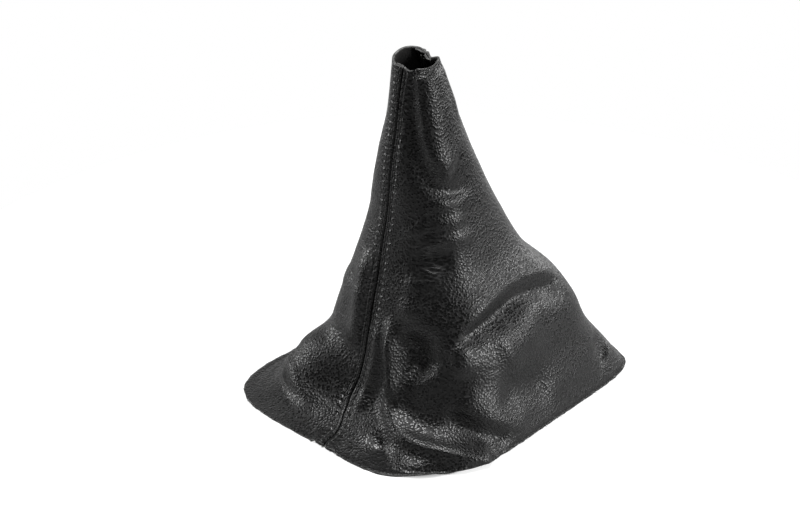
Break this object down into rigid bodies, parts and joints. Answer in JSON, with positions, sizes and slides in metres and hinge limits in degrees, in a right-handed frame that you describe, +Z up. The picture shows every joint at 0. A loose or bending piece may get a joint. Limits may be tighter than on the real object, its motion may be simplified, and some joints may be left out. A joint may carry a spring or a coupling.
{
  "type": "gear lever gaiter",
  "caption": "Soft leather gear lever boot: stitched panels fall in folds from a narrow open neck to a wide, raw-cut rectangular foot.",
  "frame": {"origin": "middle of the foot's outline, on the surface that the foot rests on", "axes": "+Z up from the foot to the neck; the front seam faces -Y; +X is to the right seen from the front"},
  "size_m": [0.1537, 0.1824, 0.199],
  "materials": {
    "leather": "black pebble-grained leather, low sheen",
    "thread": "black polyester sewing thread"
  },
  "bodies": {
    "root": {"right_panel": "leather", "left_panel": "leather", "front_topstitch_left": "thread", "front_bobbin_thread_left": "thread", "front_topstitch_right": "thread", "front_bobbin_thread_right": "thread", "front_closing_thread": "thread", "rear_topstitch_left": "thread", "rear_bobbin_thread_left": "thread", "rear_topstitch_right": "thread", "rear_bobbin_thread_right": "thread", "rear_closing_thread": "thread"}
  },
  "joints": []
}
